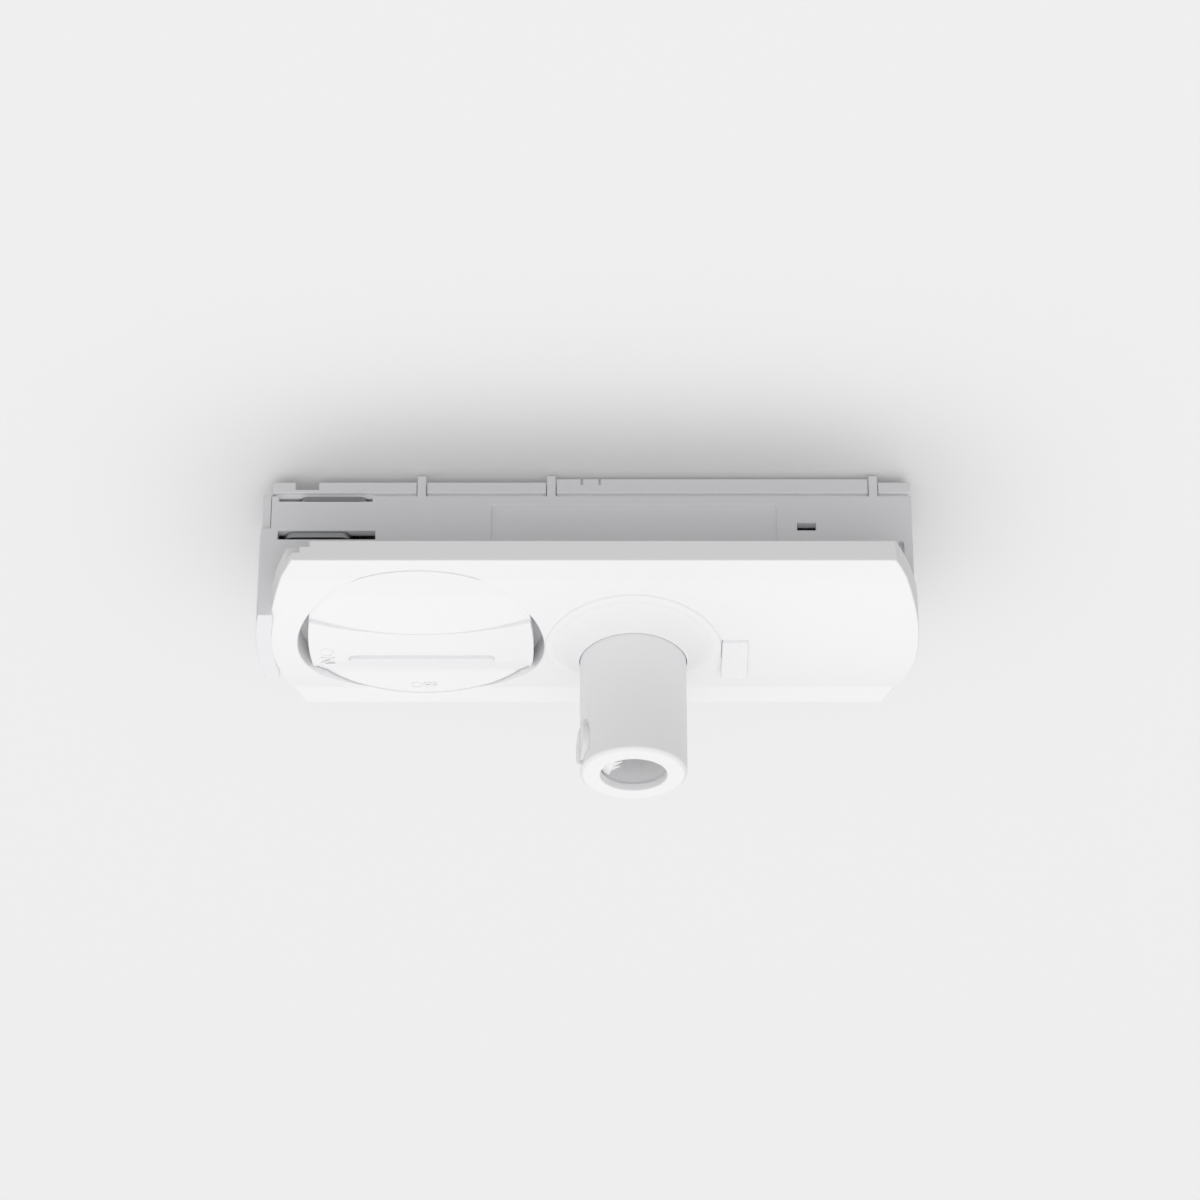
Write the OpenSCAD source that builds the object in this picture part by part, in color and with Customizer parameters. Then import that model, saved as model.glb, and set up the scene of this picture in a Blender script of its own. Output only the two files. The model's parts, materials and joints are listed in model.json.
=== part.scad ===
// Single-circuit track adapter with a cord nozzle for a pendant lamp.
// Z = 0 is the seat that meets the track's underside, X runs along the track, millimetres.

/* [Cover] */
// Width of the lower cover
cover_w = 35; // [33:0.5:38]
// Length of the cover's straight long edges
cover_l = 72.4; // [71:0.2:80]
// How far each end of the cover bulges past its corners
end_bulge = 3.6; // [3:0.1:5]
// Wall thickness of the cover
cover_wall = 1.6; // [1.3:0.1:1.8]
// Depth of the vault below the cover's edge strips
crown = 1.9; // [1.5:0.1:2.4]
// Width of the flat strip along each long edge
edge_strip = 3.9; // [3.4:0.1:4.4]

/* [Housing] */
// Width of the housing that enters the track
housing_w = 15.5; // [15:0.1:17]
// Left end of the housing's main walls
housing_left = -39.6; // [-40:0.1:-39.5]
// Right end of the housing's main walls
housing_right = 39; // [38.8:0.1:40]
// Height of the housing above the seat
housing_h = 12.2; // [12:0.1:14]
// Wall thickness of the housing
housing_wall = 1.2; // [1:0.1:1.4]
// Thickness of the base plate in the cover
base_t = 1.3; // [1:0.1:1.6]
// Reach of the hooked end block past the cover's end
hook_reach = 1.6; // [1.3:0.1:2]
// Height of the hooked end block above the seat
hook_top = 7.6; // [7.4:0.1:8.2]
// Depth of the recessed panel in the long walls
panel_depth = 0.4; // [0.2:0.05:0.8]

/* [Lid] */
// Height of the lid's strip above the shadow gap
lid_t = 1.6; // [1.2:0.05:2]
// Height of the shadow gap under the lid's strip
lid_gap = 0.55; // [0.2:0.05:0.7]
// Extra height of the lid over the terminals
lid_raise = 0.5; // [0.3:0.1:1]
// Width of each snap tongue
tongue_w = 1.1; // [0.9:0.1:1.5]

/* [Knob and lock] */
// Knob axis along the length
knob_x = -21.2; // [-21.4:0.1:-21]
// Radius of the knob's hole in the cover
knob_hole_r = 15.1; // [14.6:0.1:15.2]
// Gap round the knob
knob_gap = 0.2; // [0.15:0.05:0.5]
// Half length of the knob's finger bar
bar_reach = 13.8; // [13:0.1:14]
// Half width of the finger bar at its waist
bar_waist = 2.8; // [2.5:0.1:3.2]
// Half width of the finger bar at its ends
bar_end = 5.6; // [5.2:0.1:6]
// Coin slot length
coin_slot_l = 18; // [14:0.5:20]
// Coin slot width
coin_slot_w = 1.7; // [1:0.1:2]
// Coin slot place across the knob
coin_slot_y = 3.2; // [3:0.1:3.6]
// Radius of the knob's hub
hub_r = 5; // [4.6:0.1:5.4]
// Height of the lock wing's lower face
wing_z = 6.3; // [6:0.05:6.4]
// Thickness of the lock wing
wing_t = 0.8; // [0.4:0.05:1]
// Reach of the lock wing from the knob's axis
wing_reach = 16.8; // [16.4:0.1:16.9]
// Inner reach of the lock wing's heads
wing_inner = 8.6; // [8.4:0.1:9]
// Half width of the lock wing's heads
wing_half = 6.2; // [5.8:0.1:6.3]
// Turn of the knob from open to locked, in degrees
knob_turn = 25; // [20:1:25]

/* [Contacts] */
// Distance of the lever pivots from the knob's axis
pivot_reach = 15.4; // [15.2:0.1:15.6]
// Distance of the lever pivots from the middle plane
pivot_y = 3; // [2.8:0.1:3.2]
// Height of the contact levers' lower face
lever_z = 11.55; // [11.4:0.05:11.6]
// Thickness of the contact levers
lever_t = 0.6; // [0.2:0.05:0.6]
// Radius of the pivot pins
pin_r = 1; // [0.8:0.1:1.1]
// Thickness of the brass busbars
busbar_t = 0.3; // [0.25:0.05:0.35]

/* [Nozzle] */
// Nozzle axis along the length
nozzle_x = 4.8; // [4.6:0.1:5.2]
// Outer radius of the nozzle
nozzle_r = 6.5; // [6.2:0.1:6.8]
// Radius of the cord's bore
bore_r = 4.05; // [3.5:0.05:4.2]
// Radius of the passage above the nozzle's mouth
passage_r = 4.3; // [4.25:0.05:4.5]
// Length of the bore at the nozzle's mouth
mouth_l = 1; // [0.8:0.1:1.1]
// Height of the nozzle's mouth
nozzle_end = -22.6; // [-25:0.1:-21]
// Depth of the boss below the cover's ridge
boss_h = 2.2; // [1.8:0.1:2.6]
// Radius of the boss at its foot
boss_r = 11; // [10.4:0.1:11.2]
// Distance of the clamp screw from the nozzle's mouth
clamp_up = 3.6; // [3.6:0.1:5]
// Turn of the clamp screw's axis towards the front, in degrees
clamp_yaw = 11; // [0:1:20]
// Radius of the clamp screw
clamp_screw_r = 2.45; // [2.2:0.05:2.6]
// Distance of the jaw's face from the bore's axis
jaw_face = 2.4; // [2.2:0.1:2.8]
// Height of the jaw
jaw_h = 4.4; // [3.4:0.1:4.6]

/* [Terminals] */
// Left end of the terminal block
terminal_x = 15; // [14:0.5:16]
// Length of the terminal block
terminal_l = 13; // [11:0.5:15]
// Height of the terminal block
terminal_h = 8; // [7:0.5:9]
// Distance between the terminals
terminal_pitch = 3.7; // [3.5:0.1:3.8]

/* [Fits] */
// Radial clearance of turning shafts
running_gap = 0.05; // [0.03:0.01:0.09]
// Gap between moving pieces and their neighbours
moving_gap = 0.3; // [0.25:0.05:0.4]
// Gap between fixed pieces that slip together
slip_gap = 0.1; // [0.05:0.05:0.2]

/* [Hidden] */
$fn = 96;
eps = 0.01;

white = "white";
pale = "gainsboro";
steel = "dimgray";
brass = "goldenrod";

// Cover levels and arcs
edge_z = -(base_t + cover_wall);
ridge_z = edge_z - crown;
vault_half = cover_w / 2 - edge_strip;
vault_r = (vault_half * vault_half + crown * crown) / (2 * crown);
end_r = (cover_w * cover_w / 4 + end_bulge * end_bulge) / (2 * end_bulge);
end_apex = cover_l / 2 + end_bulge;
end_centre = end_apex - end_r;
boss_z = ridge_z - boss_h;
boss_lip = 0.4;
boss_sink = 0.05;
boss_steps = 4;
collar_t = 1;
floor_z = ridge_z + cover_wall;

// Housing levels
half_w = housing_w / 2;
inner_w = half_w - housing_wall;
end_wall = 0.2;
hook_in = housing_left + end_wall;
hook_fit = 0.03;
strip_setback = 0.5;
strip_reach = 1.1;
strip_groove = 0.12;
panel_left = 8.6;
panel_l = 35;
panel_foot = 1;
panel_head = 1.3;
panel_slope = 0.2;
window = [2.3, 4, 1];
window_back = 14.1;
window_z = 7.3;
end_notch = [0.7, 1.8, 2.6];
end_notch_back = 1.8;
end_notch_z = 3.1;

// Lid levels
lid_seat_z = housing_h;
lid_strip_z = lid_seat_z + lid_gap;
lid_top_z = lid_strip_z + lid_t;
lid_inset = 0.25;
seat_inset = 0.3;
seat_setback = 0.7;
mark_places = [-1.5, 0.7];
mark_w = 0.2;
mark_h = 0.3;
tongue_top = lid_top_z + 0.75;
notch_l = 2.8;
notch_h = 1.05;
notch_depth = 2.6;
tongue_t = 0.8;
front_tongues = [knob_x, knob_x + 15.95, housing_right - 4.65];
rear_tongues = [knob_x, knob_x - 15.95, housing_right - 4.65];
raise_from = -4.6;
raise_to = housing_right - 5.3;

// Lock wing's sweep, which sets the slots and the pocket in the end wall
wing_arm_half = 2.9;
wing_corner = 1.2;
wing_setback = 0.1;
sweep_gap = 0.1;
wing_lip = half_w - wing_setback - wing_half;
wing_sweep = wing_corner + norm([wing_reach - wing_corner, wing_half + wing_lip - wing_corner]);
slot_left = knob_x - wing_reach - 0.7;
wing_edge_y = (half_w - wing_inner * sin(knob_turn)) / cos(knob_turn);
wing_slot_right = knob_x - (wing_inner * cos(knob_turn) - wing_edge_y * sin(knob_turn) - moving_gap);
lever_slot_right = knob_x - 6.05;
wing_slot_below = 0.3;
wing_slot_h = wing_slot_below + wing_t + 0.1;
lever_slot_below = 0.12;

// Knob levels
knob_r = knob_hole_r - knob_gap;
washer_t = 0.25;
knob_top = -base_t - moving_gap;
knob_floor_z = edge_z;
bar_step = 0.2;
scoop_slope = 15.5;
scoop_r = (bar_reach * bar_reach + pow(bar_end - bar_waist, 2)) / (2 * (bar_end - bar_waist));
hub_square = 5;
bar_end_r = 48;
end_cut_h = knob_top - ridge_z + 2;
coin_slot_depth = 1.4;
cam_z = lever_z;
cam_reach = 7.2;
cam_half = 2.3;
rotor_r = 4.4;
screw_r = 1.25;
rotor_head_r = 2.5;
rotor_head_z = lever_z - 1.4;
rotor_head_h = 1.5;
rotor_tip_z = 0.7;
cross_l = 3.2;
cross_w = 0.6;
washer_r = 9;

// Contact levers, in the front left corner
pivot_x = knob_x - pivot_reach;
tip_x = knob_x - 6.55;
deck_t = 2.2;
deck_top = lever_z - busbar_t;
ledge_h = 0.8;
ledge_w = 1;
ledge_root = 0.05;
busbar_y = inner_w - slip_gap;
busbar_w = 0.5;
deck_half = busbar_y - busbar_w - slip_gap;
deck_stop = 8.8;
tab_half = 1.6;

// Nozzle levels
flange_r = 8.6;
flange_z = floor_z;
flange_flat = 7.1;
mouth_edge = 0.4;
recess_depth = 0.6;
recess_gap = 0.65;
clamp_z = nozzle_end + clamp_up;
jaw_r = passage_r - moving_gap;
spigot_r = 1;
spigot_l = 0.7;
screw_out = nozzle_r + 0.15;
clamp_slot = 0.8;

// Terminal block, wire holes, clamps and screws
wire_r = 1.2;
clamp_l = 4.6;
clamp_w = 2.8;
clamp_depth = 1.9;
terminal_screw_r = 0.9;
terminal_head_r = 1.35;
terminal_head_z = 2.7;
terminal_head_h = 1;
driver_w = 0.4;

// Earth wiper beside the rotor
wiper_x = knob_x + 9;
wiper_w = 2.4;
wiper_reach = 4;

// Rotation stop key beside the boss
key_x = nozzle_x + boss_r - slip_gap;
key_l = 3.2;
key_y = -1.6;
key_w = 9;
key_z = ridge_z - 0.4;

// Cover screws, away from the knob and the boss
screw_places = [[-4, 12.8], [30, 12.8]];
cover_screw_r = 1;
cover_screw_head = 2;
head_h = 0.8;
thread_gap = 0.02;
boss_screw_r = 2.4;

// Copies a shape to the far side of the knob, half a turn round its axis
module opposite() {
    translate([knob_x, 0, 0]) rotate(180) translate([-knob_x, 0, 0]) children();
}

module with_opposite() {
    children();
    opposite() children();
}

// Turns a shape so that its +X runs out of the nozzle along the clamp screw
module along_clamp() {
    translate([nozzle_x, 0, clamp_z]) rotate(180 + clamp_yaw) children();
}

// Plan of the cover, drawn in by an inset, between two heights
module cover_plan(inset, low, high) {
    intersection() {
        translate([-end_apex, -cover_w / 2 + inset, low])
            cube([2 * end_apex, cover_w - 2 * inset, high - low]);
        translate([end_centre, 0, low]) cylinder(r = end_r - inset, h = high - low);
        translate([-end_centre, 0, low]) cylinder(r = end_r - inset, h = high - low);
    }
}

// Space above the vaulted face, drawn up by an inset
module above_vault(inset) {
    union() {
        translate([-end_apex, -cover_w, edge_z + inset]) cube([2 * end_apex, 2 * cover_w, -edge_z]);
        translate([-end_apex, 0, ridge_z + vault_r]) rotate([0, 90, 0])
            cylinder(r = vault_r - inset, h = 2 * end_apex, $fn = 256);
    }
}

module screw_sites() {
    for (place = screw_places, side = [-1, 1]) translate([place[0], side * place[1], 0]) children();
}

// Slice of the boss, from 0 at its foot on the vault to 1 at the nozzle's root
module boss_slice(part) {
    radius = boss_r + part * (nozzle_r + boss_lip - boss_r);
    drop = boss_h * part * part;
    intersection() {
        translate([nozzle_x, 0, boss_z]) cylinder(r = radius, h = floor_z - boss_z, $fn = 64);
        above_vault(boss_sink * (1 - part) - drop);
    }
}

// Boss round the nozzle: a cone with hollow flanks, in slices, whose foot follows the vault
module nozzle_boss() {
    for (i = [0 : boss_steps - 1]) hull() {
        boss_slice(i / boss_steps);
        boss_slice((i + 1) / boss_steps);
    }
}

module lower_cover() {
    color(white) difference() {
        union() {
            intersection() {
                cover_plan(0, ridge_z, 0);
                above_vault(0);
            }
            nozzle_boss();
        }
        difference() {
            intersection() {
                cover_plan(cover_wall, ridge_z, 1);
                above_vault(cover_wall);
            }
            screw_sites() translate([0, 0, ridge_z]) cylinder(r = boss_screw_r, h = -base_t - ridge_z);
            translate([knob_x, 0, ridge_z]) cylinder(r = knob_hole_r + collar_t, h = -base_t - ridge_z);
        }
        translate([knob_x, 0, ridge_z - 1]) cylinder(r = knob_hole_r, h = 10);
        translate([nozzle_x, 0, boss_z - 1]) cylinder(r = nozzle_r + slip_gap, h = 10);
        translate([nozzle_x, 0, flange_z]) cylinder(r = flange_r + slip_gap, h = 10);
        translate([key_x - slip_gap / 2, key_y, ridge_z - 1]) cube([key_l / 2 + slip_gap, key_w / 2, 10]);
        screw_sites() translate([0, 0, edge_z + 0.6]) cylinder(r = cover_screw_r, h = 10);
        corner_steps();
    }
}

// Two small steps at the front left corner of the cover's edge
module corner_steps() {
    step_w = [2.1, 0.9];
    step_h = 0.8;
    for (i = [0, 1]) translate([-cover_l / 2 - 1, -cover_w / 2 - 1, -(i + 1) * step_h])
        cube([1 + step_w[i], 1 + cover_wall + slip_gap, step_h + eps]);
}

module housing_outer() {
    difference() {
        union() {
            intersection() {
                cover_plan(cover_wall + slip_gap, -base_t, 0);
                translate([hook_in, -cover_w, -base_t]) cube([2 * end_apex, 2 * cover_w, base_t]);
            }
            translate([housing_left, -half_w, 0]) cube([housing_right - housing_left, housing_w, housing_h]);
        }
        panel_recess();
        mirror([0, 1, 0]) panel_recess();
    }
    hook_block();
}

// Shallow panel in the front wall, with a sloping upper edge
module panel_recess() {
    head = housing_h - panel_head;
    translate([knob_x + panel_left, 0, 0]) rotate([90, 0, 90]) linear_extrude(panel_l)
        polygon([[-half_w - 1, panel_foot], [panel_depth - half_w, panel_foot],
                 [panel_depth - half_w, head - panel_slope], [-half_w, head], [-half_w - 1, head]]);
}

// Hooked block at the left end that reaches down over the cover's end
module hook_block() {
    difference() {
        intersection() {
            translate([-end_centre, 0, ridge_z]) cylinder(r = end_r + hook_reach, h = hook_top - ridge_z);
            translate([-2 * end_apex, -half_w, ridge_z])
                cube([2 * end_apex + hook_in, housing_w, hook_top - ridge_z]);
        }
        translate([-end_centre, 0, ridge_z - 1]) cylinder(r = end_r + hook_fit, h = 1 - ridge_z);
    }
    end_strip();
}

// Strip up the left end of the housing, set back from the walls behind a fine groove
module end_strip() {
    half = half_w - strip_setback;
    top = lid_strip_z - slip_gap;
    difference() {
        translate([housing_left - strip_reach, -half, hook_top - 1])
            cube([strip_reach + eps, 2 * half, top - hook_top + 1]);
        for (side = [-1, 1]) translate([housing_left - strip_groove, side * half - strip_setback, hook_top])
            cube([strip_groove, 2 * strip_setback, top]);
    }
}

module housing() {
    color(white) {
        difference() {
            housing_outer();
            translate([hook_in, -inner_w, eps])
                cube([housing_right - housing_wall - hook_in, 2 * inner_w, 30]);
            wing_pocket();
            translate([knob_x, 0, -5]) cylinder(r = hub_r + running_gap, h = 10);
            translate([nozzle_x, 0, -5]) cylinder(r = passage_r, h = 10);
            with_opposite() {
                translate([slot_left, -half_w - 1, wing_z - wing_slot_below])
                    cube([wing_slot_right - slot_left, housing_wall + 2, wing_slot_h]);
                translate([slot_left, -half_w - 1, lever_z - lever_slot_below])
                    cube([lever_slot_right - slot_left, housing_wall + 2, 5]);
            }
            for (side = [-1, 1]) {
                translate([housing_right - window_back, side * half_w - window[1] / 2, window_z])
                    cube(window);
                translate([housing_right - end_notch_back, side * half_w - end_notch[1] / 2, end_notch_z])
                    cube(end_notch);
            }
            screw_sites() {
                translate([0, 0, -5]) cylinder(r = cover_screw_r + slip_gap, h = 10);
                translate([0, 0, -head_h - slip_gap])
                    cylinder(r1 = cover_screw_head - head_h, r2 = cover_screw_head + slip_gap,
                             h = head_h + slip_gap + eps);
            }
        }
        with_opposite() deck_ledges();
        snap_tongues();
    }
}

// Room in the end wall for the corners of a longer lock wing
module wing_pocket() {
    intersection() {
        translate([knob_x, 0, wing_z - wing_slot_below])
            cylinder(r = wing_sweep + sweep_gap, h = wing_slot_h);
        translate([2 * hook_in, -inner_w, 0]) cube([-hook_in, 2 * inner_w, housing_h]);
    }
}

// Ledges in the housing that carry a contact deck and its busbar
module deck_ledges() {
    ledge_z = deck_top - deck_t - ledge_h;
    start = hook_in + 1;
    middle = inner_w + ledge_root - ledge_w / 2;
    for (side = [-1, 1]) translate([start, side * middle - ledge_w / 2, ledge_z])
        cube([knob_x - deck_stop - start, ledge_w, ledge_h]);
}

module at_tongues() {
    for (x = front_tongues) translate([x, 0, 0]) children();
    for (x = rear_tongues) translate([x, 0, 0]) mirror([0, 1, 0]) children();
}

module snap_tongues() {
    at_tongues() {
        translate([-tongue_w / 2, -half_w, housing_h - 1])
            cube([tongue_w, tongue_t, tongue_top - housing_h + 1]);
        translate([-tongue_w / 2, tongue_t - half_w - eps, lid_top_z + slip_gap / 2])
            cube([tongue_w, 0.7, tongue_top - lid_top_z - slip_gap / 2]);
    }
}

module top_lid() {
    length = housing_right - housing_left - 2 * slip_gap;
    start = housing_left + slip_gap;
    color(white) difference() {
        union() {
            translate([start + seat_inset, -half_w + seat_setback, lid_seat_z])
                cube([length - 2 * seat_inset, housing_w - 2 * seat_setback, lid_gap + eps]);
            translate([start, -half_w + lid_inset, lid_strip_z])
                cube([length, housing_w - 2 * lid_inset, lid_t]);
            translate([raise_from, -half_w + lid_inset, lid_strip_z])
                cube([raise_to - raise_from, housing_w - 2 * lid_inset, lid_t + lid_raise]);
        }
        at_tongues() translate([-tongue_w / 2 - slip_gap, -half_w - 1, 0])
            cube([tongue_w + 2 * slip_gap, 1 + tongue_t + slip_gap, 40]);
        translate([start + notch_l, -half_w - 1, lid_top_z - notch_h]) cube([notch_l, 1 + notch_depth, 2]);
        for (x = mark_places) translate([x - mark_w / 2, -half_w - 1, lid_top_z - mark_h])
            cube([mark_w, 2, 2]);
    }
}

module cord_nozzle() {
    color(white) difference() {
        translate([nozzle_x, 0, 0]) rotate_extrude() polygon([
            [bore_r, nozzle_end], [nozzle_r - mouth_edge, nozzle_end], [nozzle_r, nozzle_end + mouth_edge],
            [nozzle_r, flange_z], [flange_r, flange_z], [flange_r, -base_t], [passage_r, -base_t],
            [passage_r, nozzle_end + mouth_l], [bore_r, nozzle_end + mouth_l]]);
        along_clamp() rotate([0, 90, 0]) {
            cylinder(r = clamp_screw_r + running_gap, h = 2 * nozzle_r);
            translate([0, 0, nozzle_r - recess_depth]) cylinder(r = clamp_screw_r + recess_gap, h = nozzle_r);
        }
        translate([nozzle_x + flange_flat, key_y, flange_z - 1])
            cube([flange_r, key_w / 2 + slip_gap, flange_r]);
    }
}

module rotation_stop_key() {
    color(white) {
        difference() {
            translate([key_x, key_y, key_z]) cube([key_l, key_w, edge_z + 1 - key_z]);
            above_vault(0);
        }
        translate([key_x, key_y + slip_gap / 2, key_z])
            cube([key_l / 2, key_w / 2 - slip_gap, -base_t - key_z]);
    }
}

module cover_screws() {
    color(steel) screw_sites() {
        translate([0, 0, -head_h - 0.05])
            cylinder(r1 = cover_screw_head - head_h, r2 = cover_screw_head, h = head_h);
        translate([0, 0, edge_z + 0.8]) cylinder(r = cover_screw_r - thread_gap, h = -edge_z - 0.9);
    }
}

// Hollow beside the finger bar: a small step, a slope and a level floor out to the rim
module knob_scoop(side) {
    translate([0, side * (bar_waist + scoop_r), 0]) intersection() {
        translate([0, 0, ridge_z - 2]) cylinder(r = scoop_r, h = knob_floor_z - ridge_z + 2, $fn = 200);
        translate([0, side * -scoop_r, ridge_z + bar_step]) rotate([side * scoop_slope, 0, 0])
            translate([-2 * knob_r, -2 * knob_r, -10]) cube([4 * knob_r, 4 * knob_r, 10]);
    }
}

// Gap past one rounded end of the finger bar
module knob_end_cut(side) {
    difference() {
        translate([side * (bar_reach + knob_r / 2 - 2), 0, ridge_z - 1 + end_cut_h / 2])
            cube([knob_r, 2 * knob_r, end_cut_h], center = true);
        translate([side * (bar_reach - bar_end_r), 0, ridge_z - 2])
            cylinder(r = bar_end_r, h = 10, $fn = 200);
    }
}

module lock_knob() {
    color(white) difference() {
        union() {
            intersection() {
                translate([knob_x, 0, ridge_z]) cylinder(r = knob_r, h = knob_top - ridge_z);
                above_vault(0.02);
            }
            translate([knob_x, 0, knob_top - eps]) cylinder(r = hub_r, h = wing_z - knob_top + eps);
            translate([knob_x - hub_square / 2, -hub_square / 2, wing_z - eps])
                cube([hub_square, hub_square, wing_t + eps]);
        }
        translate([knob_x, 0, 0]) {
            for (side = [-1, 1]) {
                knob_scoop(side);
                knob_end_cut(side);
            }
            translate([0, coin_slot_y, ridge_z - 1]) linear_extrude(1 + coin_slot_depth)
                rounded_rectangle(coin_slot_l, coin_slot_w, coin_slot_w / 2 - eps);
            translate([0, 0, rotor_tip_z - 2 * slip_gap]) cylinder(r = screw_r, h = 20);
        }
    }
}

// Rectangle with rounded corners, centred on the origin
module rounded_rectangle(length, width, corner) {
    square([length - 2 * corner, width], center = true);
    square([length, width - 2 * corner], center = true);
    for (x = [-1, 1], y = [-1, 1]) translate([x * (length / 2 - corner), y * (width / 2 - corner)])
        circle(r = corner, $fn = 48);
}

module lock_wing() {
    color(steel) translate([knob_x, 0, wing_z]) linear_extrude(wing_t) difference() {
        union() {
            for (side = [-1, 1]) translate([side * (wing_reach + wing_inner) / 2, side * wing_lip / 2])
                rounded_rectangle(wing_reach - wing_inner, 2 * wing_half + wing_lip, wing_corner);
            square([2 * wing_inner + 1, 2 * wing_arm_half], center = true);
            circle(r = hub_r);
        }
        square(hub_square + slip_gap, center = true);
    }
}

module rotor_cam() {
    foot = wing_z + wing_t;
    color(pale) translate([knob_x, 0, 0]) difference() {
        union() {
            translate([0, 0, foot]) cylinder(r = rotor_r, h = lever_z + lever_t - foot);
            for (turn = [0, 180]) rotate(turn) translate([-cam_reach, 0, cam_z]) {
                cylinder(r = cam_half, h = lever_t);
                translate([0, -cam_half, 0]) cube([cam_reach, 2 * cam_half, lever_t]);
            }
        }
        translate([0, 0, foot - 1]) cylinder(r = screw_r + slip_gap, h = 20);
        translate([0, 0, rotor_head_z]) cylinder(r = rotor_head_r + slip_gap, h = 20);
    }
}

module rotor_screw() {
    color(steel) translate([knob_x, 0, 0]) difference() {
        union() {
            translate([0, 0, rotor_head_z]) cylinder(r = rotor_head_r, h = rotor_head_h);
            translate([0, 0, rotor_tip_z])
                cylinder(r = screw_r - thread_gap, h = rotor_head_z - rotor_tip_z + eps);
        }
        for (turn = [0, 90]) rotate(turn)
            translate([-cross_l / 2, -cross_w / 2, rotor_head_z + rotor_head_h / 2])
                cube([cross_l, cross_w, rotor_head_h]);
    }
}

module friction_washer() {
    color(steel) translate([knob_x, 0, knob_top]) difference() {
        cylinder(r = washer_r, h = washer_t);
        translate([0, 0, -1]) cylinder(r = hub_r + moving_gap, h = 3);
    }
}

// Contact lever: an arm from the pivot to a tip beside the rotor's cam
module contact_lever() {
    front = wing_setback - half_w;
    back = -pivot_y - 0.15;
    color(brass) translate([0, 0, lever_z]) difference() {
        union() {
            translate([pivot_x, -pivot_y, 0]) cylinder(r = 2, h = lever_t);
            linear_extrude(lever_t) polygon([[pivot_x - 0.4, -pivot_y - 1.9], [pivot_x + 0.4, front + 0.8],
                [pivot_x + 0.7, front + 0.25], [pivot_x + 1.3, front], [tip_x - 0.9, front],
                [tip_x - 0.3, front + 0.25], [tip_x, front + 0.8], [tip_x, back - 0.6],
                [tip_x - 1.6, back], [pivot_x, back + 0.9]]);
        }
        translate([pivot_x, -pivot_y, -1]) cylinder(r = pin_r + running_gap, h = 3);
    }
}

module live_contact_lever() contact_lever();

module neutral_contact_lever() opposite() contact_lever();

module pivot_pin() {
    color(steel) translate([pivot_x, -pivot_y, deck_top - deck_t])
        cylinder(r = pin_r, h = lever_z + lever_t - deck_top + deck_t);
}

module live_pivot_pin() pivot_pin();

module neutral_pivot_pin() opposite() pivot_pin();

// Insulating deck under a lever, with a bay cut out round the rotor
module contact_deck() {
    color(pale) difference() {
        translate([hook_in + 0.5, -deck_half, deck_top - deck_t])
            cube([knob_x - deck_stop - hook_in - 0.5, 2 * deck_half, deck_t]);
        translate([pivot_x, -pivot_y, 0]) cylinder(r = pin_r, h = 20);
    }
}

module live_contact_deck() contact_deck();

module neutral_contact_deck() opposite() contact_deck();

// Brass strip along a wall
module busbar(from_x, to_x, side) {
    middle = side * (busbar_y - busbar_w / 2);
    translate([from_x, middle - busbar_w / 2, deck_top - deck_t])
        cube([to_x - from_x, busbar_w, deck_t + eps]);
}

// Tab of a busbar under its lever's pivot
module pivot_tab() {
    difference() {
        translate([pivot_x - tab_half, -busbar_y, deck_top])
            cube([2 * tab_half, busbar_y - pivot_y + 1.8, busbar_t]);
        translate([pivot_x, -pivot_y, 0]) cylinder(r = pin_r, h = 20);
    }
}

module live_busbar() {
    color(brass) {
        busbar(pivot_x - tab_half, terminal_x + 2, -1);
        pivot_tab();
    }
}

module neutral_busbar() {
    color(brass) {
        busbar(2 * knob_x - pivot_x - tab_half, terminal_x + 2, 1);
        opposite() pivot_tab();
    }
}

module earth_wiper() {
    top = wing_z - 0.1;
    color(brass) translate([wiper_x, 0, eps]) {
        translate([0, busbar_y - busbar_w, 0]) cube([terminal_x - wiper_x - slip_gap, busbar_w, wiper_w]);
        translate([0, busbar_y - busbar_w, 0]) cube([wiper_w, busbar_w, top - busbar_t]);
        translate([0, busbar_y - wiper_reach, top - busbar_t - eps]) cube([wiper_w, wiper_reach, busbar_t]);
    }
}

module terminal_sites() {
    for (i = [-1, 0, 1]) translate([terminal_x + terminal_l / 2, i * terminal_pitch, 0]) children();
}

module terminal_block() {
    side = busbar_y - busbar_w - slip_gap;
    middle = terminal_h / 2;
    color(pale) difference() {
        translate([terminal_x, -side, eps]) cube([terminal_l, 2 * side, terminal_h]);
        terminal_sites() {
            translate([-terminal_l, 0, middle]) rotate([0, 90, 0]) cylinder(r = wire_r, h = terminal_l);
            translate([-clamp_l / 2 - slip_gap, -clamp_w / 2 - slip_gap, middle - clamp_depth])
                cube([clamp_l + 2 * slip_gap, clamp_w + 2 * slip_gap, terminal_h]);
        }
    }
}

module terminal_clamps() {
    middle = terminal_h / 2;
    color(brass) terminal_sites() difference() {
        translate([-clamp_l / 2, -clamp_w / 2, middle - clamp_depth]) cube([clamp_l, clamp_w, clamp_l]);
        translate([-clamp_l, 0, middle]) rotate([0, 90, 0]) cylinder(r = wire_r - slip_gap, h = 2 * clamp_l);
        translate([0, 0, middle]) cylinder(r = terminal_screw_r, h = clamp_l);
    }
}

module terminal_screws() {
    color(steel) terminal_sites() translate([0, 0, terminal_h / 2]) difference() {
        union() {
            translate([0, 0, wire_r / 2])
                cylinder(r = terminal_screw_r - thread_gap, h = terminal_head_z - wire_r / 2 + slip_gap);
            translate([0, 0, terminal_head_z]) cylinder(r = terminal_head_r, h = terminal_head_h);
        }
        translate([-terminal_head_r, -driver_w / 2, terminal_head_z + terminal_head_h / 2])
            cube([2 * terminal_head_r, driver_w, terminal_head_h]);
    }
}

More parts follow.
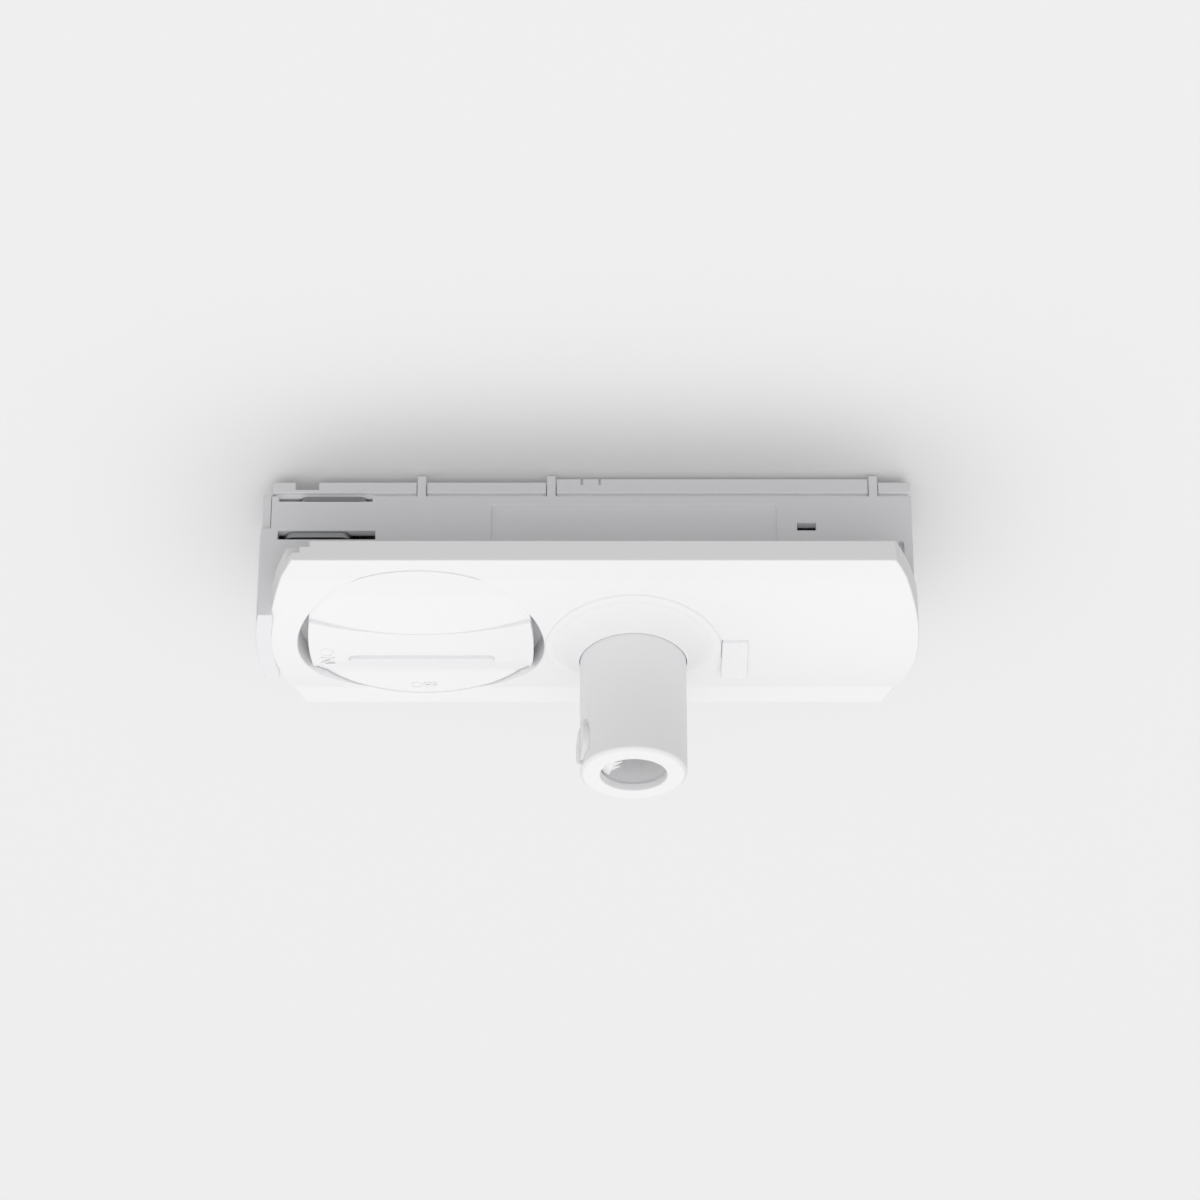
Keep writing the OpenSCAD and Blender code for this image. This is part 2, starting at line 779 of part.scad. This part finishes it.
module clamp_jaw() {
    tooth = 0.55;
    tooth_l = 1.2;
    color(white) along_clamp() {
        difference() {
            intersection() {
                translate([0, 0, -jaw_h / 2]) cylinder(r = jaw_r, h = jaw_h);
                translate([jaw_face, -bore_r, -jaw_h]) cube([bore_r, 2 * bore_r, 2 * jaw_h]);
            }
            translate([jaw_r - spigot_l - 0.15, 0, 0]) rotate([0, 90, 0])
                cylinder(r = spigot_r + running_gap, h = 5);
        }
        for (y = [-1.5:1:1.5], z = [-1, 0, 1])
            translate([jaw_face + eps, 2 * tooth * y, z * (jaw_h / 2 - tooth - 0.1)])
                rotate([0, -90, 0]) rotate(45)
                    cylinder(r1 = tooth * sqrt(2), r2 = 0.05, h = tooth_l, $fn = 4);
    }
}

module clamp_screw() {
    color("silver") along_clamp() rotate([0, 90, 0]) difference() {
        union() {
            translate([0, 0, jaw_r - spigot_l]) cylinder(r = spigot_r, h = spigot_l + 0.1);
            translate([0, 0, jaw_r + running_gap])
                cylinder(r = clamp_screw_r, h = screw_out - jaw_r - running_gap);
        }
        translate([-nozzle_r, -clamp_slot / 2, screw_out - clamp_slot])
            cube([2 * nozzle_r, clamp_slot, nozzle_r]);
    }
}

lower_cover();
housing();
top_lid();
cord_nozzle();
rotation_stop_key();
cover_screws();
lock_knob();
lock_wing();
rotor_cam();
rotor_screw();
friction_washer();
live_contact_lever();
neutral_contact_lever();
live_pivot_pin();
neutral_pivot_pin();
live_contact_deck();
neutral_contact_deck();
live_busbar();
neutral_busbar();
earth_wiper();
terminal_block();
terminal_clamps();
terminal_screws();
clamp_jaw();
clamp_screw();
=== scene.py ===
"""Dresses the track light adapter: rounded moulded shells, finishes, marks, light and camera."""
import json
import math

import bmesh
import bpy
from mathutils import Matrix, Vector
from mathutils.bvhtree import BVHTree


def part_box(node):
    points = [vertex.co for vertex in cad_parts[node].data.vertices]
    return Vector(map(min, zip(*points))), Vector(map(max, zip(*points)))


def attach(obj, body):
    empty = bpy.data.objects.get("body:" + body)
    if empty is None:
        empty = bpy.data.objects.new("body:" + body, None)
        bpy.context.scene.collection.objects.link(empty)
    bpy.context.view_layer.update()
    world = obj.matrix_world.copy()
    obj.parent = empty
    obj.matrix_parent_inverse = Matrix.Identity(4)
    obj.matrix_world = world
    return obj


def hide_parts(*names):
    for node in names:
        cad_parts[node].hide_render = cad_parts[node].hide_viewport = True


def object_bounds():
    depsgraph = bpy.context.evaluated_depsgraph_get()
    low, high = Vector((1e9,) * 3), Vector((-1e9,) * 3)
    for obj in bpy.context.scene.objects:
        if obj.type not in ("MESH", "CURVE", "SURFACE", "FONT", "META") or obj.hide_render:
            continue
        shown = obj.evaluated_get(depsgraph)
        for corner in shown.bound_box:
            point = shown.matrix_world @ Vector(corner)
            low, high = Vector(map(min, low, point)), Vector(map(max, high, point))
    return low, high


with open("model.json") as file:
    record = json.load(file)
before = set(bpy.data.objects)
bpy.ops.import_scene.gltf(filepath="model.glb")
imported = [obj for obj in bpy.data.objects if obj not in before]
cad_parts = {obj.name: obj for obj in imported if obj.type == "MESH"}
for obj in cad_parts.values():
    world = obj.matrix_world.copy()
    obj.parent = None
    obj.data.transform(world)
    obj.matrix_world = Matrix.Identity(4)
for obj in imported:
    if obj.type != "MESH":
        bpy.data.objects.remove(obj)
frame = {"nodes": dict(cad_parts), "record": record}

bl_info = {
    "name": "Track Light Adapter",
    "version": (1, 0, 0),
    "blender": (4, 5, 0),
    "location": "View3D > Sidebar > Adapter",
    "description": "Builds the looks of a white single-circuit track adapter around its solids",
    "category": "Object",
}

MM = 0.001
CAD_BOX = [list(corner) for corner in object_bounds()]
RECORD = frame["record"]
BODY_OF = {node: body for body, nodes in RECORD["behaviour"]["bodies"].items() for node in nodes}
SLOT_OF = {row["node"]: row["material_slot"] for row in RECORD["subparts"]}
JOINTS = {joint["name"]: joint for joint in RECORD["behaviour"]["joints"]}
KNOB_AXIS = Vector(JOINTS["knob_turn"]["pos_m"])
NOZZLE_AXIS = Vector(JOINTS["clamp_screw_turn"]["pos_m"])

# Points of a copied solid that lie closer than this are one point
MERGE_DISTANCE = 0.0005 * MM
# Faces that turn less than this from one to the next are one flat face
FLAT_ANGLE = math.radians(0.3)
# Edges that turn more than this are sharp, and are rounded
SHARP_ANGLE = math.radians(35)
# A face is this many radii wide before its edge gets the full radius
FULL_ROUND_WIDTH = 2.2
# Edges with room for less than this share of the radius stay sharp
LEAST_SHARE = 0.25
# An edge shows if nothing stands in front of it over this distance, seen from just off the edge
SIGHT = 60 * MM
OFF_EDGE = 0.03 * MM

# The hooked end of the housing: how far in from the cover's end it lies, its upper limit, and the slit there
HOOK_REACH = 4 * MM
HOOK_TOP = 0.01 * MM
HOOK_SLIT = 0.4 * MM
# A height at which the cover's end wall stands beside the hook
COVER_WALL_HEIGHT = -1 * MM

# Section of the low step round the boss: radius and height above the cover, in mm
RIM_PROFILE = ((10.8, -0.3), (10.8, 0.14), (10.74, 0.2), (10.6, 0.22), (10.2, 0.16), (9.6, 0.0), (9.3, -0.3))
RIM_STEPS = 128
RIM_SMOOTH = math.radians(60)

# Light of the pale room: the direction that it comes from, and its strength
ROOM_LIGHT = (((0, 0, -1), 1.0), ((0, -1, 0), 0.36), ((0, 1, 0), 0.2), ((-1, 0, 0), 0.34), ((1, 0, 0), 0.28))
# Soft round lamps: name, place and width in metres, and power in watts
LAMPS = (("Lamp in front", (0, -2.12, -2.12), 1.8, 7.8), ("Lamp above", (0, 0, 3), 0.8, 8))
CEILING_WIDTH = 6

# The view from below and in front, through a long lens
CAMERA_PITCH = math.radians(30.2)
CAMERA_DISTANCE = 563.5 * MM
CAMERA_TARGET = Vector((0.74 * MM, 0, 1.88 * MM))
CAMERA_NEAREST = 10 * MM
LENS_MM = 137.06
SENSOR_MM = 36


def linear(hex_colour):
    """Linear red, green and blue of an sRGB hex colour."""
    channels = [int(hex_colour[i:i + 2], 16) / 255 for i in (0, 2, 4)]
    return [c / 12.92 if c <= 0.04045 else ((c + 0.055) / 1.055) ** 2.4 for c in channels]


def length(name, description, size_mm):
    """A length in the sidebar, given in millimetres."""
    return bpy.props.FloatProperty(name=name, description=description, default=size_mm * MM, unit="LENGTH")


def angle(name, description, degrees):
    """An angle in the sidebar, given in degrees."""
    return bpy.props.FloatProperty(
        name=name, description=description, default=math.radians(degrees), subtype="ANGLE")


def point(name, description, point_mm):
    """A place in the sidebar, given in millimetres."""
    return bpy.props.FloatVectorProperty(
        name=name, description=description, default=[value * MM for value in point_mm], size=3,
        subtype="TRANSLATION")


def colour(name, description, hex_colour):
    """A colour in the sidebar, given as sRGB hex."""
    return bpy.props.FloatVectorProperty(
        name=name, description=description, default=linear(hex_colour), size=3, subtype="COLOR")


class AdapterSizes(bpy.types.PropertyGroup):
    """Sizes that only the looks use"""
    bevel_steps: bpy.props.IntProperty(
        name="Edge Steps", description="Facets across each rounded edge", default=3, min=1, max=6)
    cover_round: length("Cover Edges", "Edge radius of the lower cover", 0.2)
    key_round: length("Key Edges", "Edge radius of the rotation stop key", 0.2)
    housing_round: length("Housing Edges", "Edge radius of the housing", 0.12)
    lid_round: length("Lid Edges", "Edge radius of the top lid", 0.18)
    knob_round: length("Knob Edges", "Edge radius of the lock knob", 0.15)
    nozzle_round: length("Nozzle Edges", "Edge radius of the cord nozzle", 0.15)
    screw_round: length("Screw Edges", "Edge radius of the clamp screw", 0.12)
    wing_round: length("Wing Edges", "Edge radius of the pressed lock wing", 0.15)
    lever_round: length("Lever Edges", "Edge radius of the contact levers", 0.1)
    off_height: length("OFF Height", "Size of the word OFF", 1.9)
    off_mark: point("OFF Mark", "Place of the word OFF from the knob's axis", (-0.1, 12.9, -2.9))
    on_height: length("ON Height", "Size of the word ON", 2.5)
    on_mark: point("ON Mark", "Place of the word ON from the knob's axis", (-11.7, 2.4, -4.72))
    on_turn: angle("ON Turn", "Direction that the word ON is read in", 90)
    bar_tilt: angle("Bar Tilt", "Slope of the finger bar under the word ON", 2.8)
    mark_relief: length("Mark Relief", "How far the letters stand proud", 0.16)
    ceiling_gap: length("Ceiling Gap", "Space between the adapter and the ceiling", 0.4)


class AdapterColours(bpy.types.PropertyGroup):
    """Colours of the finishes"""
    abs_white: colour("ABS White", "Cover, knob, nozzle and clamp", "F5F5F6")
    # Painted shade: the housing and lid are drawn in a greyer white than the cover, so that their walls
    # under the ceiling come out darker
    pbt_white: colour("PBT White", "Housing and lid", "EEEEF0")
    insulator: colour("Insulator", "Inner mouldings", "E3E1DA")
    steel: colour("Plated Steel", "Wing, contact levers, pins and screws", "8C8D8F")
    brass: colour("Brass", "Busbars, earth wiper and terminal clamps", "B59A66")
    ceiling: colour("Ceiling", "Painted ceiling and backdrop", "EFEFEF")


def add_node(tree, kind, settings=(), links=()):
    """Adds a shader node with its settings and the links that feed it."""
    node = tree.nodes.new(kind)
    for key, value in dict(settings).items():
        if key in node.inputs:
            node.inputs[key].default_value = value
        else:
            setattr(node, key, value)
    for socket, source in dict(links).items():
        tree.links.new(source, node.inputs[socket])
    return node


def new_material(name):
    """An empty material and its node tree."""
    material = bpy.data.materials.new(name)
    material.use_nodes = True
    material.node_tree.nodes.clear()
    return material, material.node_tree


def moulded_plastic(name, base, roughness, grain_mm):
    """Moulded ABS, PBT or the like: the eroded mould leaves a fine, even grain and a soft sheen.

    The sheen drifts a little over some 18 mm, as the melt's flow leaves it. The grain is drawn
    coarser than a real one, which would be too fine to show.
    """
    flow_mm = 18
    grain_depth_mm = 0.02
    drift = 0.05
    material, tree = new_material(name)
    place = add_node(tree, "ShaderNodeTexCoord").outputs["Object"]
    grain = add_node(tree, "ShaderNodeTexNoise", {"Scale": 1 / (grain_mm * MM), "Detail": 2.0},
                     {"Vector": place})
    flow = add_node(tree, "ShaderNodeTexNoise", {"Scale": 1 / (flow_mm * MM), "Detail": 1.0},
                    {"Vector": place})
    gloss = add_node(tree, "ShaderNodeMapRange", {"To Min": roughness - drift, "To Max": roughness + drift},
                     {"Value": flow.outputs["Fac"]})
    bump = add_node(tree, "ShaderNodeBump", {"Strength": 0.6, "Distance": grain_depth_mm * MM},
                    {"Height": grain.outputs["Fac"]})
    shader = add_node(tree, "ShaderNodeBsdfPrincipled",
                      {"Base Color": (*base, 1), "IOR": 1.5, "Specular IOR Level": 0.4},
                      {"Roughness": gloss.outputs["Result"], "Normal": bump.outputs["Normal"]})
    add_node(tree, "ShaderNodeOutputMaterial", links={"Surface": shader.outputs["BSDF"]})
    return material


def worked_metal(name, base, roughness, streak_mm):
    """Rolled or plated metal: fine streaks along the strip break up its reflections.

    The streaks are drawn coarser than real ones, which would be too fine to show.
    """
    along_strip = (0.08, 1, 1)
    streak_depth_mm = 0.01
    material, tree = new_material(name)
    place = add_node(tree, "ShaderNodeTexCoord").outputs["Object"]
    stretch = add_node(tree, "ShaderNodeMapping", {"Scale": along_strip}, {"Vector": place})
    streak = add_node(tree, "ShaderNodeTexNoise", {"Scale": 1 / (streak_mm * MM), "Detail": 3.0},
                      {"Vector": stretch.outputs["Vector"]})
    gloss = add_node(tree, "ShaderNodeMapRange", {"To Min": roughness - 0.08, "To Max": roughness + 0.1},
                     {"Value": streak.outputs["Fac"]})
    bump = add_node(tree, "ShaderNodeBump", {"Strength": 0.15, "Distance": streak_depth_mm * MM},
                    {"Height": streak.outputs["Fac"]})
    shader = add_node(tree, "ShaderNodeBsdfPrincipled", {"Base Color": (*base, 1), "Metallic": 1.0},
                      {"Roughness": gloss.outputs["Result"], "Normal": bump.outputs["Normal"]})
    add_node(tree, "ShaderNodeOutputMaterial", links={"Surface": shader.outputs["BSDF"]})
    return material


# Finish of each record slot: name, maker, colour, roughness, and grain or streak width in mm
FINISHES = {
    # Clean white with a satin sheen, on what the hand touches
    "white_abs": ("White moulded ABS", moulded_plastic, "abs_white", 0.42, 0.35),
    # Duller, for the parts that hold live metal; its white is painted a little greyer than the cover's, as
    # painted shade for the housing's walls under the ceiling
    "white_pbt": ("White moulded PBT with painted shade", moulded_plastic, "pbt_white", 0.5, 0.3),
    # Warm off-white of uncoloured insulating mouldings
    "insulator": ("Moulded insulator", moulded_plastic, "insulator", 0.5, 0.35),
    # Grey metal with a soft shine
    "plated_steel": ("Plated steel", worked_metal, "steel", 0.34, 0.4),
    # Yellow metal, bright from the roll
    "brass": ("Rolled brass", worked_metal, "brass", 0.32, 0.4),
}


def finish_for(slot):
    """The finish of a record slot, made once."""
    name, make, colour_name, roughness, width_mm = FINISHES[slot]
    base = getattr(bpy.context.scene.adapter_colours, colour_name)
    return bpy.data.materials.get(name) or make(name, base, roughness, width_mm)


def deselect_all():
    if bpy.context.mode != "OBJECT":
        bpy.ops.object.mode_set(mode="OBJECT")
    bpy.ops.object.select_all(action="DESELECT")


def make_active(piece):
    deselect_all()
    piece.select_set(True)
    bpy.context.view_layer.objects.active = piece


def dress(piece, slot):
    """Gives a piece the finish of a slot and no other."""
    piece.data.materials.clear()
    piece.data.materials.append(finish_for(slot))


def join_to(piece, node):
    """Gives a new piece the finish and the body of the node that it belongs to."""
    dress(piece, SLOT_OF[node])
    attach(piece, BODY_OF[node])


def surface_of(nodes):
    """A search tree over the faces of some CAD nodes."""
    corners, faces = [], []
    for node in nodes:
        mesh = frame["nodes"][node].data
        first = len(corners)
        corners += [vertex.co.copy() for vertex in mesh.vertices]
        faces += [[first + i for i in face.vertices] for face in mesh.polygons]
    return BVHTree.FromPolygons(corners, faces)


def near(node, distance_mm):
    """A neighbour's surface, and how close to it an edge stays sharp."""
    return surface_of([node]), distance_mm * MM


def weigh_edges(mesh, radius, outside, beside):
    """Marks the sharp edges to be rounded, each by as much as its narrower face has room for.

    Inner corners stay sharp, because the mould's own edges make them.
    outside, where given, leaves edges sharp that something stands in front of, and beside
    leaves those sharp that lie closer than a distance to a neighbour's surface.
    """
    form = bmesh.new()
    form.from_mesh(mesh)
    weights = form.edges.layers.float.new("bevel_weight_edge")
    for edge in form.edges:
        if edge.calc_face_angle(0) < SHARP_ANGLE or not edge.is_convex:
            continue
        start, end = (corner.co for corner in edge.verts)
        along = (end - start).normalized()
        away = sum((face.normal for face in edge.link_faces), Vector()).normalized()
        middle = (start + end) / 2
        room = min(max((corner.co - start).cross(along).length for corner in face.verts)
                   for face in edge.link_faces)
        share = min(1.0, room / (FULL_ROUND_WIDTH * radius))
        if share < LEAST_SHARE:
            continue
        if outside and outside.ray_cast(middle + away * OFF_EDGE, away, SIGHT)[0] is not None:
            continue
        if any(surface.find_nearest(middle)[3] < distance for surface, distance in beside):
            continue
        edge[weights] = share
    form.to_mesh(mesh)
    form.free()


def close_hook(mesh):
    """Brings the hooked end's inner facets up to the cover, whose round end has other facets."""
    cover = surface_of(["lower_cover"])
    cover_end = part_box("lower_cover")[0][0]
    for corner in mesh.vertices:
        on_hook = corner.co.x < cover_end + HOOK_REACH and corner.co.z < HOOK_TOP
        by_cover = Vector((corner.co.x, corner.co.y, COVER_WALL_HEIGHT))
        if on_hook and cover.find_nearest(by_cover)[3] < HOOK_SLIT:
            corner.co.x += HOOK_SLIT


def rounded_copy(node, radius, outside=None, beside=(), mend=None):
    """Copies a CAD node's form into a new piece whose sharp edges are rounded.

    mend, where given, is a function that closes a slit in the copy before it is rounded.
    """
    piece = bpy.data.objects.new(node + "_rounded", frame["nodes"][node].data.copy())
    bpy.context.scene.collection.objects.link(piece)
    make_active(piece)
    bpy.ops.object.mode_set(mode="EDIT")
    bpy.ops.mesh.select_all(action="SELECT")
    bpy.ops.mesh.remove_doubles(threshold=MERGE_DISTANCE)
    bpy.ops.mesh.customdata_custom_splitnormals_clear()
    bpy.ops.mesh.dissolve_limited(angle_limit=FLAT_ANGLE)
    bpy.ops.object.mode_set(mode="OBJECT")
    if mend:
        mend(piece.data)
    weigh_edges(piece.data, radius, outside, beside)
    bevel = piece.modifiers.new("Edge round", "BEVEL")
    bevel.limit_method = "WEIGHT"
    bevel.width = radius
    bevel.segments = bpy.context.scene.adapter_sizes.bevel_steps
    bevel.use_clamp_overlap = False
    bevel.miter_outer = "MITER_ARC"
    bpy.ops.object.modifier_apply(modifier=bevel.name)
    bpy.ops.object.shade_smooth_by_angle(angle=SHARP_ANGLE)
    level = piece.modifiers.new("Flat faces", "WEIGHTED_NORMAL")
    level.keep_sharp = True
    bpy.ops.object.modifier_apply(modifier=level.name)
    join_to(piece, node)
    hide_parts(node)


def raised_rim():
    """Spins the low step round the foot of the nozzle's boss and lays it on the vaulted cover."""
    cover = surface_of(["lower_cover"])
    deselect_all()
    bpy.ops.mesh.primitive_circle_add(vertices=len(RIM_PROFILE), radius=MM)
    piece = bpy.context.object
    piece.name = "boss_rim"
    for corner, (radius_mm, height_mm) in zip(piece.data.vertices, RIM_PROFILE):
        corner.co = (radius_mm * MM, 0, -height_mm * MM)
    bpy.ops.object.mode_set(mode="EDIT")
    bpy.ops.mesh.select_all(action="SELECT")
    bpy.ops.mesh.spin(steps=RIM_STEPS, angle=2 * math.pi, center=(0, 0, 0), axis=(0, 0, 1))
    bpy.ops.mesh.select_all(action="SELECT")
    bpy.ops.mesh.remove_doubles(threshold=MERGE_DISTANCE)
    bpy.ops.mesh.normals_make_consistent(inside=False)
    bpy.ops.object.mode_set(mode="OBJECT")
    for corner in piece.data.vertices:
        place = Vector((NOZZLE_AXIS.x + corner.co.x, NOZZLE_AXIS.y + corner.co.y, CAD_BOX[0][2]))
        seat = cover.ray_cast(place, Vector((0, 0, 1)))[0]
        if seat is None:
            raise RuntimeError("The boss rim has no cover above it")
        corner.co = seat + Vector((0, 0, corner.co.z))
    bpy.ops.object.shade_smooth_by_angle(angle=RIM_SMOOTH)
    join_to(piece, "lower_cover")


def raised_word(word, height, place, turn=0.0, tilt=0.0):
    """Raises a word on the knob's lower face, to be read from below and in front."""
    deselect_all()
    bpy.ops.object.text_add(location=(0, 0, 0))
    text = bpy.context.object
    text.name = "knob_mark_" + word
    text.data.body = word
    text.data.size = height
    text.data.extrude = bpy.context.scene.adapter_sizes.mark_relief
    text.data.align_x = "CENTER"
    text.data.align_y = "CENTER"
    bpy.ops.object.convert(target="MESH")
    piece = bpy.context.object
    piece.rotation_euler = (math.pi + tilt, 0, turn)
    piece.location = place
    bpy.ops.object.transform_apply(location=True, rotation=True, scale=True)
    join_to(piece, "lock_knob")


class ADAPTER_OT_inner_works(bpy.types.Operator):
    """Gives every solid its finish"""
    bl_idname = "adapter.inner_works"
    bl_label = "Inner Works"

    def execute(self, context):
        for node, piece in frame["nodes"].items():
            dress(piece, SLOT_OF[node])
        return {"FINISHED"}


class ADAPTER_OT_cover(bpy.types.Operator):
    """Rounds the lower cover and its rotation stop key, and adds the step round the boss"""
    bl_idname = "adapter.cover"
    bl_label = "Cover"

    def execute(self, context):
        sizes = context.scene.adapter_sizes
        seats = [near("housing", 0.06), near("cord_nozzle", 0.45), near("rotation_stop_key", 0.12)]
        rounded_copy("lower_cover", sizes.cover_round, outside=surface_of(frame["nodes"]), beside=seats)
        rounded_copy("rotation_stop_key", sizes.key_round)
        raised_rim()
        return {"FINISHED"}


class ADAPTER_OT_housing(bpy.types.Operator):
    """Rounds the housing and the lid that enter the track"""
    bl_idname = "adapter.housing"
    bl_label = "Housing"

    def execute(self, context):
        sizes = context.scene.adapter_sizes
        all_pieces = surface_of(frame["nodes"])
        seats = [near("lower_cover", 0.06), near("top_lid", 0.1)]
        rounded_copy("housing", sizes.housing_round, outside=all_pieces, beside=seats, mend=close_hook)
        rounded_copy("top_lid", sizes.lid_round, outside=all_pieces)
        return {"FINISHED"}


class ADAPTER_OT_knob(bpy.types.Operator):
    """Rounds the lock knob and raises its marks"""
    bl_idname = "adapter.knob"
    bl_label = "Lock Knob"

    def execute(self, context):
        sizes = context.scene.adapter_sizes
        rounded_copy("lock_knob", sizes.knob_round, outside=surface_of(frame["nodes"]))
        raised_word("OFF", sizes.off_height, KNOB_AXIS + Vector(sizes.off_mark))
        raised_word("ON", sizes.on_height, KNOB_AXIS + Vector(sizes.on_mark), sizes.on_turn, sizes.bar_tilt)
        return {"FINISHED"}


class ADAPTER_OT_nozzle(bpy.types.Operator):
    """Rounds the cord nozzle and its clamp screw"""
    bl_idname = "adapter.nozzle"
    bl_label = "Cord Nozzle"

    def execute(self, context):
        sizes = context.scene.adapter_sizes
        seats = [near("clamp_screw", 0.5), near("clamp_jaw", 0.3)]
        rounded_copy("cord_nozzle", sizes.nozzle_round, outside=surface_of(frame["nodes"]), beside=seats)
        rounded_copy("clamp_screw", sizes.screw_round)
        return {"FINISHED"}


class ADAPTER_OT_contacts(bpy.types.Operator):
    """Rounds the pressed edges of the lock wing and the contact levers"""
    bl_idname = "adapter.contacts"
    bl_label = "Wing and Levers"

    def execute(self, context):
        sizes = context.scene.adapter_sizes
        rounded_copy("lock_wing", sizes.wing_round)
        rounded_copy("live_contact_lever", sizes.lever_round)
        rounded_copy("neutral_contact_lever", sizes.lever_round)
        return {"FINISHED"}


class ADAPTER_OT_stage(bpy.types.Operator):
    """Makes the ceiling, the light and the camera"""
    bl_idname = "adapter.stage"
    bl_label = "Stage"

    def execute(self, context):
        scene = context.scene
        self.make_ceiling(scene)
        self.make_world(scene)
        for name, place, width, power in LAMPS:
            self.make_lamp(scene, name, place, width, power)
        self.make_camera(scene)
        scene.view_settings.view_transform = "Standard"
        return {"FINISHED"}

    def make_ceiling(self, scene):
        """A pale ceiling over the adapter that only shows from below."""
        deselect_all()
        height = CAD_BOX[1][2] + scene.adapter_sizes.ceiling_gap
        bpy.ops.mesh.primitive_plane_add(size=CEILING_WIDTH, location=(0, 0, height))
        ceiling = bpy.context.object
        ceiling.name = "Ceiling"
        bpy.ops.object.mode_set(mode="EDIT")
        bpy.ops.mesh.select_all(action="SELECT")
        bpy.ops.mesh.flip_normals()
        bpy.ops.object.mode_set(mode="OBJECT")
        # Matt white paint, which takes a soft shadow, and clear where it is seen from above
        material, tree = new_material("Painted ceiling")
        above = add_node(tree, "ShaderNodeNewGeometry").outputs["Backfacing"]
        paint = add_node(tree, "ShaderNodeBsdfDiffuse", {"Color": (*scene.adapter_colours.ceiling, 1)})
        clear = add_node(tree, "ShaderNodeBsdfTransparent")
        mix = add_node(tree, "ShaderNodeMixShader",
                       links={0: above, 1: paint.outputs["BSDF"], 2: clear.outputs["BSDF"]})
        add_node(tree, "ShaderNodeOutputMaterial", links={"Surface": mix.outputs["Shader"]})
        ceiling.data.materials.append(material)
        ceiling.visible_diffuse = False
        ceiling.visible_shadow = False

    def make_world(self, scene):
        """Pale light from below and from the sides, and a pale background."""
        world = bpy.data.worlds.new("Pale room")
        world.use_nodes = True
        tree = world.node_tree
        tree.nodes.clear()
        rays = add_node(tree, "ShaderNodeLightPath").outputs
        seen = rays["Is Camera Ray"]
        for kind in ("Is Glossy Ray", "Is Transmission Ray"):
            either = add_node(tree, "ShaderNodeMath", {"operation": "MAXIMUM"}, {0: seen, 1: rays[kind]})
            seen = either.outputs[0]
        way = add_node(tree, "ShaderNodeTexCoord").outputs["Generated"]
        lobes = [self.light_lobe(tree, way, direction, strength) for direction, strength in ROOM_LIGHT]
        level = lobes[0]
        for lobe in lobes[1:]:
            both = add_node(tree, "ShaderNodeMath", {"operation": "ADD"}, {0: level, 1: lobe})
            level = both.outputs[0]
        room = add_node(tree, "ShaderNodeBackground", {"Color": (1, 1, 1, 1)}, {"Strength": level})
        backdrop = add_node(tree, "ShaderNodeBackground",
                            {"Color": (*scene.adapter_colours.ceiling, 1), "Strength": 1.0})
        mix = add_node(tree, "ShaderNodeMixShader",
                       links={0: seen, 1: room.outputs["Background"], 2: backdrop.outputs["Background"]})
        add_node(tree, "ShaderNodeOutputWorld", links={"Surface": mix.outputs["Shader"]})
        scene.world = world

    def light_lobe(self, tree, way, direction, strength):
        """Light that is strongest from one direction and fades to nothing at right angles to it."""
        facing = add_node(tree, "ShaderNodeVectorMath", {"operation": "DOT_PRODUCT"}, {0: way})
        facing.inputs[1].default_value = direction
        lobe = add_node(tree, "ShaderNodeMapRange", {"interpolation_type": "SMOOTHSTEP", "To Max": strength},
                        {"Value": facing.outputs["Value"]})
        return lobe.outputs["Result"]

    def make_lamp(self, scene, name, place, width, power):
        """A large soft lamp that points at the adapter."""
        data = bpy.data.lights.new(name, "AREA")
        data.shape = "DISK"
        data.size = width
        data.energy = power
        lamp = bpy.data.objects.new(name, data)
        lamp.location = place
        lamp.rotation_euler = (-Vector(place)).to_track_quat("-Z", "Y").to_euler()
        lamp.visible_camera = False
        scene.collection.objects.link(lamp)

    def make_camera(self, scene):
        """The camera below and in front of the adapter."""
        sight = Vector((0, math.cos(CAMERA_PITCH), math.sin(CAMERA_PITCH)))
        data = bpy.data.cameras.new("Camera")
        data.lens = LENS_MM
        data.sensor_width = SENSOR_MM
        data.clip_start = CAMERA_NEAREST
        camera = bpy.data.objects.new("Camera", data)
        camera.location = CAMERA_TARGET - CAMERA_DISTANCE * sight
        camera.rotation_euler = sight.to_track_quat("-Z", "Y").to_euler()
        scene.collection.objects.link(camera)
        scene.camera = camera


class ADAPTER_PT_panel(bpy.types.Panel):
    """Lists the adapter's pieces, sizes and colours"""
    bl_label = "Track Light Adapter"
    bl_idname = "ADAPTER_PT_panel"
    bl_space_type = "VIEW_3D"
    bl_region_type = "UI"
    bl_category = "Adapter"

    def draw(self, context):
        for operator in PIECES:
            self.layout.operator(operator.bl_idname)
        for group in (context.scene.adapter_sizes, context.scene.adapter_colours):
            for name in type(group).__annotations__:
                self.layout.prop(group, name)


PIECES = (ADAPTER_OT_inner_works, ADAPTER_OT_cover, ADAPTER_OT_housing, ADAPTER_OT_knob, ADAPTER_OT_nozzle,
          ADAPTER_OT_contacts, ADAPTER_OT_stage)
CLASSES = (AdapterSizes, AdapterColours) + PIECES + (ADAPTER_PT_panel,)


def register():
    for cls in CLASSES:
        bpy.utils.register_class(cls)
    bpy.types.Scene.adapter_sizes = bpy.props.PointerProperty(type=AdapterSizes)
    bpy.types.Scene.adapter_colours = bpy.props.PointerProperty(type=AdapterColours)


def unregister():
    del bpy.types.Scene.adapter_colours
    del bpy.types.Scene.adapter_sizes
    for cls in reversed(CLASSES):
        bpy.utils.unregister_class(cls)


def main():
    register()
    bpy.ops.adapter.inner_works()
    bpy.ops.adapter.cover()
    bpy.ops.adapter.housing()
    bpy.ops.adapter.knob()
    bpy.ops.adapter.nozzle()
    bpy.ops.adapter.contacts()
    bpy.ops.adapter.stage()


if __name__ == "__main__":
    main()
